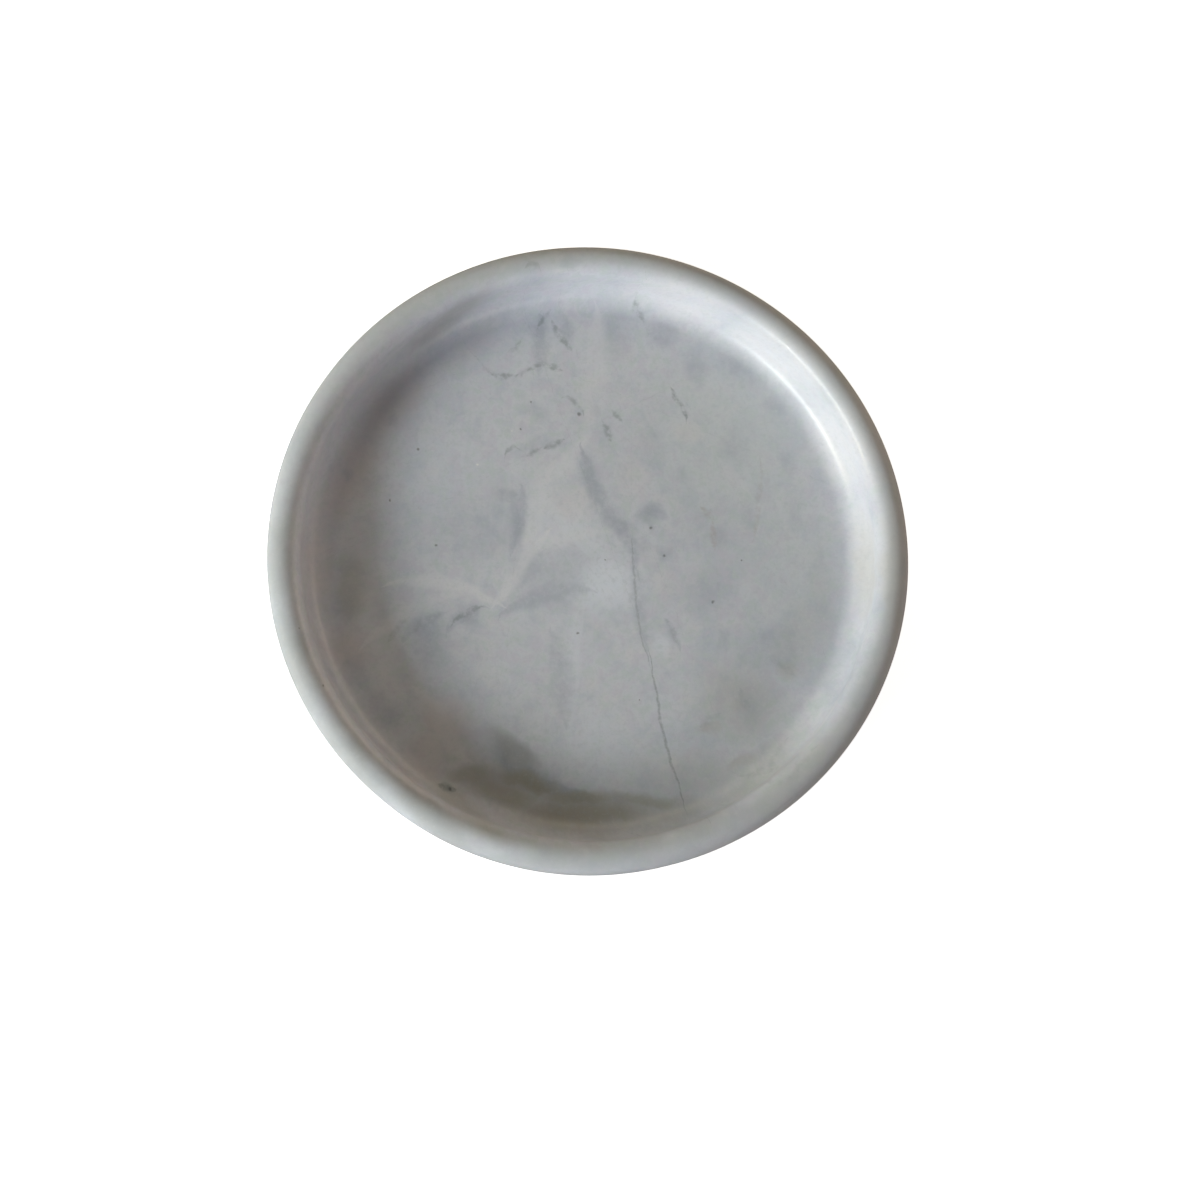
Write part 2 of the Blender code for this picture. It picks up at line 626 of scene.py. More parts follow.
middle_pixel = (PLATE_MIDDLE_X, PLATE_MIDDLE_Y)
next_pixel = (PLATE_MIDDLE_X + PIXEL_STEP, PLATE_MIDDLE_Y)
pixel_size = (on_stone(*next_pixel) - on_stone(*middle_pixel)).length / PIXEL_STEP
print(f"a pixel covers {pixel_size:.3f} mm of the floor")

# %% [markdown]
# The lists below are what the photograph shows: where a cloud, band or
# vein lies, how wide it is, and how strong. Places and widths are in the picture's
# pixels, so a reader can check each one against the photograph. The clouds come
# first, as ovals that may lie aslant.

# %% List the dark and pale clouds, some of them painted shade and light
# Middle across and down, half width, half height, strength, turn in degrees if any
# Many of these are the stone's own dark clouds; the rest are painted shade along the floor's shadow edge
# at the bottom, on the left wall, the lower-left rim, the upper-left wall and the right crest.
DARK_AND_SHADE_SPOTS = [
    (478, 528, 46, 42, 0.38), (517, 520, 9, 32, 0.5), (507, 494, 17, 8, 0.4),
    (552, 575, 46, 30, 0.38, 20), (525, 568, 15, 17, 0.45), (552, 604, 26, 12, 0.3),
    (591, 480, 12, 26, 0.52, 20), (616, 525, 8, 18, 0.55, 40), (650, 513, 13, 13, 1.0),
    (652, 528, 4, 4, 0.6), (664, 553, 11, 9, 0.55), (641, 546, 9, 11, 0.4), (469, 619, 14, 9, 0.6),
    (432, 642, 20, 30, 0.55), (561, 678, 13, 46, 0.26), (510, 755, 24, 14, 0.75, -20),
    (514, 752, 36, 14, 0.5, -40), (530, 781, 34, 13, 0.8, -20), (578, 795, 34, 8, 0.55, -20),
    (640, 801, 44, 7, 0.4), (472, 775, 30, 11, 0.4), (556, 788, 44, 10, 0.7, -20),
    (384, 712, 15, 24, 0.4, 40), (353, 670, 12, 17, 0.45, 40), (612, 338, 20, 32, 0.45),
    (664, 334, 18, 18, 0.6, -20), (696, 368, 12, 24, 0.5), (742, 366, 30, 22, 0.5, -40),
    (653, 446, 14, 30, 0.3), (732, 450, 18, 20, 0.38), (787, 463, 10, 14, 0.42),
    (772, 406, 14, 12, 0.36, -40), (749, 516, 8, 22, 0.36), (719, 537, 12, 14, 0.34, 20),
    (794, 512, 10, 16, 0.36), (681, 474, 12, 10, 0.3), (567, 330, 7, 13, 0.7),
    (540, 340, 9, 25, 0.35), (594, 411, 7, 6, 0.6), (537, 412, 15, 9, 0.4, -20),
    (535, 446, 30, 10, 0.3, 20), (706, 592, 34, 22, 0.3, -20), (723, 638, 8, 15, 0.42),
    (770, 648, 34, 28, 0.4), (750, 700, 16, 26, 0.34, 20), (700, 525, 46, 40, 0.16),
    (350, 588, 18, 42, 0.35), (347, 473, 7, 8, 0.45), (393, 420, 6, 6, 0.4), (571, 262, 12, 7, 0.45),
    (380, 778, 10, 8, 0.4, 40), (352, 757, 13, 62, 0.95, 40), (296, 664, 13, 62, 0.8, 20),
    (277, 561, 12, 46, 0.5), (436, 822, 60, 13, 0.95, -40), (540, 862, 60, 12, 0.45),
    (446, 322, 54, 13, 0.5, 40), (726, 817, 46, 11, 0.5, 20), (893, 575, 10, 60, 0.4),
    (866, 690, 10, 60, 0.35, -20),
]
PALE_SPOTS = [
    (608, 584, 42, 33, 1.0), (562, 528, 40, 34, 0.45), (590, 545, 20, 12, 0.4),
    (600, 745, 52, 38, 0.55), (574, 665, 12, 62, 0.35), (493, 685, 38, 44, 0.26),
    (661, 646, 10, 13, 0.5), (425, 470, 56, 62, 0.28, 20), (660, 730, 40, 50, 0.2),
]
# Painted light: pale marks on the upper-right inner wall, where the window lights it.
PAINTED_WALL_LIGHT = [
    (684, 300, 60, 18, 0.75, -20), (777, 355, 62, 18, 0.95, -40), (843, 442, 18, 64, 0.95, 20),
    (869, 560, 12, 78, 1.0),
]
print(len(DARK_AND_SHADE_SPOTS), "dark clouds,", len(PALE_SPOTS) + len(PAINTED_WALL_LIGHT), "pale ones")

# %% [markdown]
# Most other clouds differ more in hue than in brightness. The left side is tinted pink
# and brown and the upper right a little green. The olive clouds are mostly painted
# shade, on the shaded bottom, the left wall, the lower-left rim and the right crest.

# %% List the tinted clouds
PINK_SPOTS = [
    (688, 431, 18, 13, 0.55, -20), (570, 505, 28, 22, 0.5), (632, 480, 20, 34, 0.35),
    (665, 580, 14, 20, 0.35),
]
# A darker pink-brown tint on the left wall and rim.
PINK_BROWN_SPOTS = [
    (450, 722, 26, 32, 0.6, 40), (345, 650, 34, 24, 0.55, -20), (318, 560, 18, 70, 0.5),
    (420, 760, 60, 22, 0.45, 40), (349, 478, 22, 62, 0.65, -20), (396, 403, 22, 62, 0.6, -40),
    (466, 347, 52, 16, 0.35, 40),
]
GREEN_SPOTS = [(735, 430, 90, 110, 0.8), (790, 560, 50, 110, 0.5)]
# Mostly painted shade: these darken the floor's shadow edge and the shaded bottom wall, the left wall,
# the lower-left rim, the upper-left wall and the right crest; the ones at the lower right darken and warm
# it.
OLIVE_AND_SHADE_SPOTS = [
    (585, 815, 74, 18, 0.85), (500, 792, 46, 16, 0.6, -20), (668, 812, 40, 12, 0.35, 20),
    (352, 590, 16, 44, 0.4), (352, 757, 13, 62, 0.5, 40), (296, 664, 13, 62, 0.5, 20),
    (277, 561, 12, 50, 0.42), (436, 822, 60, 13, 0.5, -40), (514, 752, 36, 14, 0.45, -40),
    (530, 783, 38, 14, 0.95, -20), (580, 799, 44, 10, 0.85), (645, 802, 44, 8, 0.6),
    (474, 776, 32, 12, 0.55), (457, 802, 46, 13, 0.5, -40), (446, 322, 54, 13, 0.4, 40),
    (540, 862, 60, 12, 0.25), (893, 575, 10, 66, 0.4), (738, 706, 15, 13, 0.46),
    (711, 729, 14, 10, 0.42), (787, 669, 12, 12, 0.34), (745, 763, 24, 8, 0.4, 20),
    (764, 768, 18, 62, 0.32, -40), (822, 610, 14, 80, 0.16), (742, 704, 56, 46, 0.34, -40),
    (700, 772, 56, 22, 0.2), (800, 640, 26, 50, 0.18, -20),
]
print(len(PINK_SPOTS), "pink,", len(PINK_BROWN_SPOTS), "stained,", len(OLIVE_AND_SHADE_SPOTS), "olive clouds")

# %% [markdown]
# Bands are wide and soft, smudges short and ragged. Each has a few points.

# %% List the bands and smudges
# Points along the line, half width, strength
PALE_BANDS = [
    (((380, 590), (443, 583), (483, 597), (506, 608)), 9, 0.75),
    (((491, 610), (519, 571), (532, 550), (556, 530)), 9, 0.7),
    (((360, 656), (389, 624), (416, 607), (443, 597), (480, 592)), 10, 0.5),
    (((524, 566), (534, 520), (545, 487), (562, 468), (586, 435)), 15, 0.5),
    (((578, 452), (591, 411), (597, 361), (594, 300)), 16, 0.5),
    (((540, 552), (575, 536), (610, 535)), 9, 0.45),
    (((716, 456), (730, 472), (750, 494)), 7, 0.3),
    (((409, 686), (436, 708), (443, 734), (476, 762)), 11, 0.45),
]
BLUE_BANDS = [
    (((584, 440), (592, 482), (601, 502), (613, 522), (629, 539), (637, 580)), 12, 0.55),
    (((632, 540), (636, 580), (640, 612), (650, 662)), 8, 0.4),
    (((516, 482), (523, 503), (519, 521), (510, 556)), 7, 0.5),
    (((498, 489), (509, 492), (520, 493)), 6, 0.35),
    (((448, 640), (459, 618), (471, 611), (492, 611)), 8, 0.5),
    (((404, 646), (424, 622), (450, 615)), 9, 0.4),
    (((500, 622), (530, 600), (570, 590), (600, 596)), 12, 0.4),
    (((549, 626), (560, 670), (566, 730)), 14, 0.28),
    (((536, 378), (541, 345), (537, 312)), 10, 0.45),
    (((664, 616), (673, 634), (682, 654)), 6, 0.4),
]
SMUDGES = [
    (((470, 350), (481, 364), (489, 372), (504, 376), (524, 373), (535, 366), (547, 364), (566, 372)),
     4.0, 0.3),
    (((489, 372), (504, 376), (519, 374)), 4, 0.8),
    (((528, 371), (537, 366), (546, 364)), 3.4, 0.7),
    (((549, 364), (563, 370)), 3.6, 0.8),
    (((538, 330), (544, 316), (552, 309)), 3.6, 0.75),
    (((553, 318), (561, 337), (575, 350)), 5, 0.75),
    (((506, 354), (514, 349), (521, 341)), 4, 0.6),
    (((558, 404), (570, 398), (577, 405), (581, 418)), 4, 0.6),
    (((506, 466), (513, 446), (520, 449), (527, 460)), 3.4, 0.7),
    (((526, 456), (543, 448)), 3, 0.65),
    (((544, 450), (564, 440)), 4, 0.75),
    (((670, 386), (677, 401), (683, 409), (685, 426)), 3.2, 0.95),
    (((603, 421), (611, 442)), 4.6, 0.7),
    (((612, 410), (623, 421)), 4, 0.6),
    (((635, 298), (643, 322)), 4, 0.6),
    (((452, 632), (461, 617), (471, 611), (488, 611)), 3.4, 0.75),
    (((436, 783), (446, 787), (457, 790)), 4.4, 1.0),
    (((412, 638), (426, 622), (446, 616)), 5, 0.22),
    (((386, 644), (397, 630), (409, 616)), 5, 0.25),
    (((664, 616), (672, 630), (678, 646)), 4, 0.28),
    (((770, 659), (798, 678)), 4.6, 0.28),
    (((740, 687), (749, 714)), 6, 0.28),
    (((698, 728), (720, 712)), 5, 0.25),
    (((728, 766), (758, 774), (772, 757), (790, 737)), 3.6, 0.3),
    (((523, 272), (533, 264), (540, 274)), 4, 0.6),
]
print(len(PALE_BANDS) + len(BLUE_BANDS), "bands and", len(SMUDGES), "smudges")

# %% [markdown]
# Veins are as thin as a hair, and grains are small specks of another mineral.

# %% List the veins and grains
DARK_VEINS = [
    (((632, 530), (633, 559), (635, 585), (637, 608), (641, 636), (647, 654), (651, 672)), 1.4, 0.3),
    (((648, 648), (652, 664), (653, 678), (657, 694), (660, 718), (666, 743), (672, 766), (682, 797),
      (691, 820)), 1.7, 0.44),
]
RED_VEINS = [
    (((760, 456), (759, 500), (752, 544)), 4, 0.16),
    (((712, 520), (715, 552)), 4, 0.26),
    (((700, 507), (714, 520)), 5, 0.26),
]

# Middle across and down, half width
DARK_FLECKS = [
    (418, 449, 1.5), (390, 500, 1.5), (436, 545, 1.4), (578, 633, 1.4), (713, 602, 1.7),
    (521, 429, 1.3), (664, 556, 1.7), (651, 528, 1.9), (579, 414, 1.9), (531, 402, 1.1),
    (323, 686, 1.2), (299, 628, 0.9), (450, 789, 2.0), (605, 560, 0.9), (640, 700, 0.9),
    (742, 560, 1.2),
]
PALE_FLECKS = [(477, 465, 1.3), (512, 431, 0.9)]
print(len(DARK_VEINS) + len(RED_VEINS), "veins and", len(DARK_FLECKS) + len(PALE_FLECKS), "grains")

# %% [markdown]
# A cloud is the distance from its middle, in a space that is shifted and stretched
# so that the distance is 1 on the cloud's edge. Clouds that lie aslant share one of
# a few turned spaces, each made by a Mapping node. A vein is laid along the line
# from its first point to its last, a Float Curve bends it aside so that it passes
# through the points between them, and it is widest half way.

# %% Make one cloud and one vein
CLOUD_TURNS = (-40, -20, 0, 20, 40)
SPOT_CORE = 0.25
SPOT_EDGE = 1.30
VEIN_CORE = 0.2
VEIN_EDGE = 1.3
THINNEST_VEIN = 0.02


def turned_places(bench, place):
    """The place seen in spaces that are turned about the axis, by their degrees."""
    return {
        degrees: bench.node(
            "ShaderNodeMapping",
            {"vector_type": "TEXTURE"},
            {"Vector": place, "Rotation": (0, 0, math.radians(degrees))},
        )
        for degrees in CLOUD_TURNS
    }


def spot(bench, places, across, down, half_width, half_height, strength, degrees=0):
    """A soft oval cloud, the strength in its middle and 0 outside."""
    middle = on_stone(across, down)
    middle.rotate(Matrix.Rotation(-math.radians(degrees), 2))
    shrink = Vector((1 / half_width, 1 / half_height, 0)) / pixel_size
    shift = (-middle.x * shrink.x, -middle.y * shrink.y, 0)
    reach = bench.move("MULTIPLY_ADD", places[degrees], shrink, shift)
    return bench.move("LENGTH", reach, output=1).within(SPOT_CORE, SPOT_EDGE, strength, 0.0)


def stroke(bench, place, points, half_width, strength):
    """A vein through points of the picture, the strength on its line and 0 beside it."""
    knots = [on_stone(*point) for point in points]
    run = knots[-1] - knots[0]
    offset = bench.move("SUBTRACT", place, (*knots[0], 0))
    along = bench.move("DOT_PRODUCT", offset, (*(run / run.length_squared), 0), output=1)
    beside = bench.move("DOT_PRODUCT", offset, (-run.y / run.length, run.x / run.length, 0), output=1)
    if len(knots) > 2:
        steps = [knot - knots[0] for knot in knots]
        sides = [(step.dot(run) / run.length_squared, run.cross(step) / run.length) for step in steps]
        beside = beside - bench.node("ShaderNodeFloatCurve", {"points": sorted(sides)}, {"Value": along})
    belly = along * (1 - along) * (4 * half_width * pixel_size)
    reach = abs(beside) / belly.at_least(THINNEST_VEIN)
    return reach.within(VEIN_CORE, VEIN_EDGE, strength, 0.0)


def fleck(bench, place, across, down, half_width):
    """A small round grain of another mineral."""
    return spot(bench, {0: place}, across, down, half_width, half_width, 1.0)


print("clouds may turn by", CLOUD_TURNS, "degrees")

# %% [markdown]
# Where masks overlap, either the strongest one counts or they add up. A shader can
# keep only some two hundred values in mind at a time, and past that it turns black.
# So each mask is joined to the others as soon as it is made.

# %% Join many masks
def most_of(mask_of, bench, place, rows):
    """The strongest mask of several; each is joined as soon as it is made."""
    found = mask_of(bench, place, *rows[0])
    for row in rows[1:]:
        found = found.at_least(mask_of(bench, place, *row))
    return found


def total_of(mask_of, bench, place, rows):
    """Several masks added up, at most 1."""
    found = mask_of(bench, place, *rows[0])
    for row in rows[1:]:
        found = found + mask_of(bench, place, *row)
    return found.at_most(1)


print("masks can be joined")

# %% [markdown]
# The colours were matched on renders beside the photograph. Six noises, from slow
# clouds down to single crystals, vary them: a layer blends in one colour where its
# noise is high or where it is low.

# %% Choose the stone's colours and noise
STONE_GREY = (0.662, 0.677, 0.756, 1)
CLOUD_BLUE = (0.519, 0.552, 0.650, 1)
CLOUD_WARM = (0.716, 0.716, 0.780, 1)
LAVENDER = (0.643, 0.622, 0.722, 1)
LICHEN_GREY = (0.600, 0.650, 0.680, 1)
MOSS_PALE = (0.640, 0.690, 0.715, 1)
SPOT_AND_SHADE_BLUE = (0.385, 0.415, 0.505, 1)
PINK_PALE = (0.755, 0.712, 0.735, 1)
BAND_AND_LIGHT_PALE = (0.804, 0.794, 0.852, 1)
PINK_BROWN = (0.660, 0.585, 0.600, 1)
PATCH_PALE = (0.815, 0.843, 0.945, 1)
# Olive tone, mostly for painted shade
OLIVE_TINT_AND_SHADE = (0.400, 0.370, 0.300, 1)
VEIN_DARK = (0.150, 0.175, 0.205, 1)
SMUDGE_DARK = (0.235, 0.270, 0.305, 1)
VEIN_RED = (0.400, 0.315, 0.320, 1)
# The grey of the painted shade on the lip
LIP_SHADE_GREY = (0.470, 0.485, 0.500, 1)
FLECK_DARK = (0.070, 0.075, 0.080, 1)
FLECK_PALE = (0.900, 0.900, 0.890, 1)
GRAIN_BLUE = (0.520, 0.550, 0.600, 1)
GRAIN_PALE = (0.740, 0.755, 0.785, 1)

# Name: stirred or not, wave length in millimetres, detail, roughness
NOISES = {
    "slow": (True, 26, 3.0, 0.55),
    "mottle": (True, 6.0, 5.0, 0.66),
    "tint": (False, 11, 4.0, 0.6),
    "hue": (True, 4.5, 4.0, 0.62),
    "crumbs": (False, 1.9, 4.0, 0.65),
    "grain": (False, 0.9, 3.0, 0.65),
}

# Noise, the two values it is read between, the share at each of them, colour
CLOUD_LAYERS = [
    ("slow", 0.48, 0.72, 0.0, 0.50, CLOUD_BLUE),
    ("slow", 0.28, 0.50, 0.40, 0.0, CLOUD_WARM),
    ("mottle", 0.46, 0.70, 0.0, 0.60, CLOUD_BLUE),
    ("mottle", 0.30, 0.50, 0.45, 0.0, CLOUD_WARM),
    ("tint", 0.46, 0.68, 0.0, 0.25, PINK_PALE),
    ("hue", 0.48, 0.66, 0.0, 0.76, LAVENDER),
    ("hue", 0.32, 0.50, 0.76, 0.0, LICHEN_GREY),
]
CRYSTAL_LAYERS = [
    ("crumbs", 0.46, 0.70, 0.0, 0.30, GRAIN_BLUE),
    ("grain", 0.50, 0.80, 0.0, 0.28, GRAIN_BLUE),
    ("grain", 0.22, 0.48, 0.28, 0.0, GRAIN_PALE),
]
print(len(CLOUD_LAYERS) + len(CRYSTAL_LAYERS), "layers of", len(NOISES), "noises")

# %% [markdown]
# The pattern reads its place in the block from Object coordinates. Masks would have
# clean edges there, so the place is first stirred by noise: far for clouds, less for
# bands, and least for veins, which must stay on their line.

# %% Place the pattern in the block
def block_place(bench):
    """Object coordinates in millimetres, slanted so that height shifts the pattern."""
    place = bench.place()
    height = bench.move("DOT_PRODUCT", place, (0, 0, 1), output=1) - floor_height
    slant = bench.move("SCALE", (LEAN_ACROSS, LEAN_UP, 0), scale=height)
    upright = bench.move("SUBTRACT", place, slant)
    from_floor = bench.move("SUBTRACT", upright, (0, 0, floor_height))
    return bench.move("SCALE", from_floor, scale=PER_MILLIMETRE)


def stirred(bench, place, wave, reach, detail):
    """A place pushed about by noise, by up to reach millimetres."""
    push = bench.cloud(place, 1 / wave, detail, 0.55, output=1)
    centred = bench.move("SUBTRACT", push, (0.5, 0.5, 0.5))
    return bench.move("ADD", place, bench.move("SCALE", centred, scale=reach * 2))


def layered(bench, colour, noises, layers):
    """A colour with one Mix node on it for each layer of noise."""
    for name, low, high, first, last, tone in layers:
        colour = bench.blend(noises[name].within(low, high, first, last), colour, tone)
    return colour


print("the pattern leans by", LEAN_ACROSS, "and", LEAN_UP, "for each step of height")

# %% [markdown]
# The stone's colour is then built from the ground up: a pale cool grey, slow clouds
# of warm and blue, the spots and bands, a fine mottle of crystals, the veins and
# last the grains. Each layer is one Mix node, so a reader can stop after any of them
# and look. Fine noise breaks up what has an edge, as crystals do in real marble.

# %% Mix the marble
# The two values a fine noise is read between, the share of a mark left at each
BAND_BREAKS = (0.25, 0.65, 0.45, 0.90)
BLUE_BREAKS = (0.25, 0.65, 0.25, 0.95)
RED_BREAKS = (0.30, 0.60, 0.0, 1.0)
SMUDGE_BREAKS = (0.30, 0.66, 0.05, 0.70)
VEIN_BREAKS = (0.25, 0.60, 0.35, 1.0)

# The largest share of a mark's colour
MOSS_SHARE = 0.50
PATCH_SHARE = 0.70
OLIVE_AND_SHADE_SHARE = 0.75
FLECK_SHARE = 0.60
GLINT_SHARE = 0.80


def marble_colour(bench, place):
    """The colour of the stone at a place in the block, with painted shade and light in it."""
    soft = stirred(bench, place, 8.0, 3.0, 5.0)
    slack = stirred(bench, place, 5.0, 1.5, 3.0)
    crisp = stirred(bench, place, 2.2, 0.60, 3.0)
    noises = {
        name: bench.cloud(soft if stir else place, 1 / wave, detail, roughness)
        for name, (stir, wave, detail, roughness) in NOISES.items()
    }
    mottle, tint = noises["mottle"], noises["tint"]
    crumbs, grain = noises["crumbs"], noises["grain"]

    colour = layered(bench, STONE_GREY, noises, CLOUD_LAYERS)
    turned = turned_places(bench, soft)
    greens = most_of(spot, bench, turned, GREEN_SPOTS) * MOSS_SHARE
    colour = bench.blend(greens, colour, MOSS_PALE)
    patches = most_of(spot, bench, turned, PALE_SPOTS) * PATCH_SHARE
    colour = bench.blend(patches, colour, PATCH_PALE)
    pinks = most_of(spot, bench, turned, PINK_SPOTS)
    colour = bench.blend(pinks * (0.3 + 0.8 * tint), colour, PINK_PALE)
    # A darker pink-brown tint on the left wall and rim, broken up by noise.
    pink_browns = most_of(spot, bench, turned, PINK_BROWN_SPOTS)
    colour = bench.blend(pink_browns * (0.4 + 0.8 * tint), colour, PINK_BROWN)
    # Dark clouds of the stone, and painted shade along the floor's shadow edge, on the lower-left rim,
    # the upper-left wall and the right crest.
    darks_and_shade = total_of(spot, bench, turned, DARK_AND_SHADE_SPOTS)
    colour = bench.blend(darks_and_shade * (0.9 * mottle + 0.7 * crumbs - 0.15), colour, SPOT_AND_SHADE_BLUE)
    # Painted light: the upper-right inner wall is made paler where the window lights it.
    wall_light = most_of(spot, bench, turned, PAINTED_WALL_LIGHT) * crumbs.within(*BAND_BREAKS)
    colour = bench.blend(wall_light, colour, BAND_AND_LIGHT_PALE)
    bands = most_of(stroke, bench, slack, PALE_BANDS) * crumbs.within(*BAND_BREAKS)
    colour = bench.blend(bands, colour, BAND_AND_LIGHT_PALE)
    blues = most_of(stroke, bench, slack, BLUE_BANDS) * crumbs.within(*BLUE_BREAKS)
    colour = bench.blend(blues, colour, SPOT_AND_SHADE_BLUE)
    # Mostly painted shade, in an olive tone, on the shaded bottom, the rim and the right crest.
    olive_and_shade = most_of(spot, bench, turned, OLIVE_AND_SHADE_SPOTS) * OLIVE_AND_SHADE_SHARE
    colour = bench.blend(olive_and_shade, colour, OLIVE_TINT_AND_SHADE)
    colour = layered(bench, colour, noises, CRYSTAL_LAYERS)
    reds = most_of(stroke, bench, crisp, RED_VEINS)
    colour = bench.blend(reds * crumbs.within(*RED_BREAKS), colour, VEIN_RED)
    smudges = most_of(stroke, bench, slack, SMUDGES)
    colour = bench.blend(smudges * crumbs.within(*SMUDGE_BREAKS), colour, SMUDGE_DARK)
    veins = most_of(stroke, bench, crisp, DARK_VEINS)
    colour = bench.blend((veins * grain.within(*VEIN_BREAKS)).at_most(1), colour, VEIN_DARK)
    flecks = most_of(fleck, bench, crisp, DARK_FLECKS) * FLECK_SHARE
    colour = bench.blend(flecks, colour, FLECK_DARK)
    glints = most_of(fleck, bench, crisp, PALE_FLECKS) * GLINT_SHARE
    colour = bench.blend(glints, colour, FLECK_PALE)
    return colour, mottle, grain, veins


print("noises in the stone:", *NOISES)

# %% [markdown]
# ## The polish
#
# Polished marble is smooth but not a mirror: crystals take the polish unevenly
# and the last rub leaves faint rings. So the roughness follows the same grain as
# the colour, and a very shallow bump adds crystals and rings. The inside is polished
# and the lip only rubbed to a dull hone, as its dull look in the photograph shows, so a
# mask by the distance from the axis adds roughness there and leaves most of it on the
# outside. The same mask paints the lip and outside a darker grey, which is painted shade.
# Light also goes a millimetre or two into marble, which softens its shadows, so the
# shader has a little subsurface scattering, set as constants on its own sockets.

# %% Finish the marble
POLISH_ROUGHNESS = 0.26
HONED_ROUGHNESS = 0.60
LIP_SHADE_SHARE = 0.45
MOTTLE_ROUGHNESS = 0.08
GRAIN_ROUGHNESS = 0.05
RING_ROUGHNESS = 0.03
VEIN_ROUGHNESS = 0.12

# Millimetres past the crest where the lip's honing and painted shade start, are full,
# fade and have faded
LIP_FROM = -3.9
LIP_FULL = -0.6
LIP_FADES = 2.8
LIP_FADED = 4.4
LIP_OUTSIDE = 0.6

GRAIN_HEIGHT = 0.6
RING_HEIGHT = 0.25
VEIN_DEPTH = 0.8
POLISH_BUMP = 0.06
POLISH_BUMP_DEPTH = 0.05 * MILLIMETRE
RING_PITCH = 0.35
RING_DRIFT = 2
RING_DRIFT_WAVE = 15

MARBLE_FINISH = {
    "IOR": 1.46,
    "Coat Weight": 0.05,
    "Coat Roughness": 0.03,
    "Subsurface Weight": 0.35,
    "Subsurface Radius": (1.0, 0.9, 0.8),
    "Subsurface Scale": 1.4 * MILLIMETRE,
}


def polish_rings(bench, flat, away):
    """Faint rings round the axis that the last rub left, from 0 to 1."""
    drift = bench.cloud(flat, 1 / RING_DRIFT_WAVE, 2.0, 0.5) * RING_DRIFT
    ring = bench.node("ShaderNodeCombineXYZ", {}, {0: (away + drift) / RING_PITCH, 1: 0.0, 2: 0.0})
    return bench.cloud(ring, 1.0, 2.0, 0.6)


def lip_honing_and_shade(away):
    """A mask of the lip and outside, from the distance to the axis, for their honing and painted shade.
    """
    crest = (outer_radius - rim_radius) * PER_MILLIMETRE
    starts = away.within(crest + LIP_FROM, crest + LIP_FULL)
    return starts * away.within(crest + LIP_FADES, crest + LIP_FADED, 1.0, LIP_OUTSIDE)


def marble():
    """The material of the stone plate."""
    bench = Bench(bpy.data.materials.new("polished_marble"))
    colour, mottle, grain, veins = marble_colour(bench, block_place(bench))
    flat = bench.move("MULTIPLY", bench.place(), (PER_MILLIMETRE, PER_MILLIMETRE, 0))
    away = bench.move("LENGTH", flat, output=1)
    rings = polish_rings(bench, flat, away)
    honed_and_shaded = lip_honing_and_shade(away)
    # Painted shade: the lip and outside are blended towards a darker grey.
    colour = bench.blend(honed_and_shaded * LIP_SHADE_SHARE, colour, LIP_SHADE_GREY)
    rough = POLISH_ROUGHNESS + MOTTLE_ROUGHNESS * mottle + GRAIN_ROUGHNESS * grain
    rough = rough + RING_ROUGHNESS * rings + VEIN_ROUGHNESS * veins + HONED_ROUGHNESS * honed_and_shaded
    height = grain * GRAIN_HEIGHT + rings * RING_HEIGHT - veins * VEIN_DEPTH
    bump = bench.bump(height, POLISH_BUMP, POLISH_BUMP_DEPTH)
    return bench.dress({"Base Color": colour, "Roughness": rough, "Normal": bump, **MARBLE_FINISH})


stone.data.materials.append(marble())
print("marble:", len(bpy.data.materials["polished_marble"].node_tree.nodes), "nodes")

# %% [markdown]
# ## Felt and adhesive
#
# Wool felt is a heap of fibres of slightly different greys. Two noises at unlike
# scales give the melange and the fluff, and a strong roughness keeps it dull. The
# adhesive is a milky film with a slight gloss.

# %% Mix the felt and the film
WOOL_DARK = (0.205, 0.195, 0.180, 1)
WOOL_PALE = (0.420, 0.405, 0.380, 1)
FILM_MILKY = (0.700, 0.690, 0.650, 1)
FILM_YELLOW = (0.560, 0.520, 0.420, 1)
FELT_ROUGHNESS = 0.86
FELT_BUMP = 0.6
FELT_BUMP_DEPTH = 0.15 * MILLIMETRE
FELT_SHEEN = 0.35
FILM_ROUGHNESS = 0.28


def wool_felt():
    """The material of the pads."""
    bench = Bench(bpy.data.materials.new("wool_felt"))
    place = bench.move("SCALE", bench.place(), scale=PER_MILLIMETRE)
    long_way = bench.node("ShaderNodeMapping", {}, {"Vector": place, "Scale": (1.0, 5.0, 3.0)})
    cross_way = bench.node("ShaderNodeMapping", {}, {"Vector": place, "Scale": (5.0, 1.0, 3.0)})
    lay = bench.cloud(place, 0.6, 3.0, 0.6)
    first = bench.cloud(long_way, 1.1, 4.0, 0.7, 1.5)
    second = bench.cloud(cross_way, 1.1, 4.0, 0.7, 1.5)
    fibres = first * lay + second * (1 - lay)
    colour = bench.blend(fibres.within(0.36, 0.64), WOOL_DARK, WOOL_PALE)
    rough = FELT_ROUGHNESS + 0.12 * fibres
    bump = bench.bump(fibres, FELT_BUMP, FELT_BUMP_DEPTH)
    return bench.dress(
        {"Base Color": colour, "Roughness": rough, "Normal": bump, "Sheen Weight": FELT_SHEEN}
    )


def milky_adhesive():
    """The material of the films."""
    bench = Bench(bpy.data.materials.new("milky_adhesive"))
    place = bench.move("SCALE", bench.place(), scale=PER_MILLIMETRE)
    blotch = bench.cloud(place, 0.5, 4.0, 0.6)
    colour = bench.blend(blotch.within(0.4, 0.7), FILM_MILKY, FILM_YELLOW)
    return bench.dress({"Base Color": colour, "Roughness": FILM_ROUGHNESS + 0.25 * blotch})


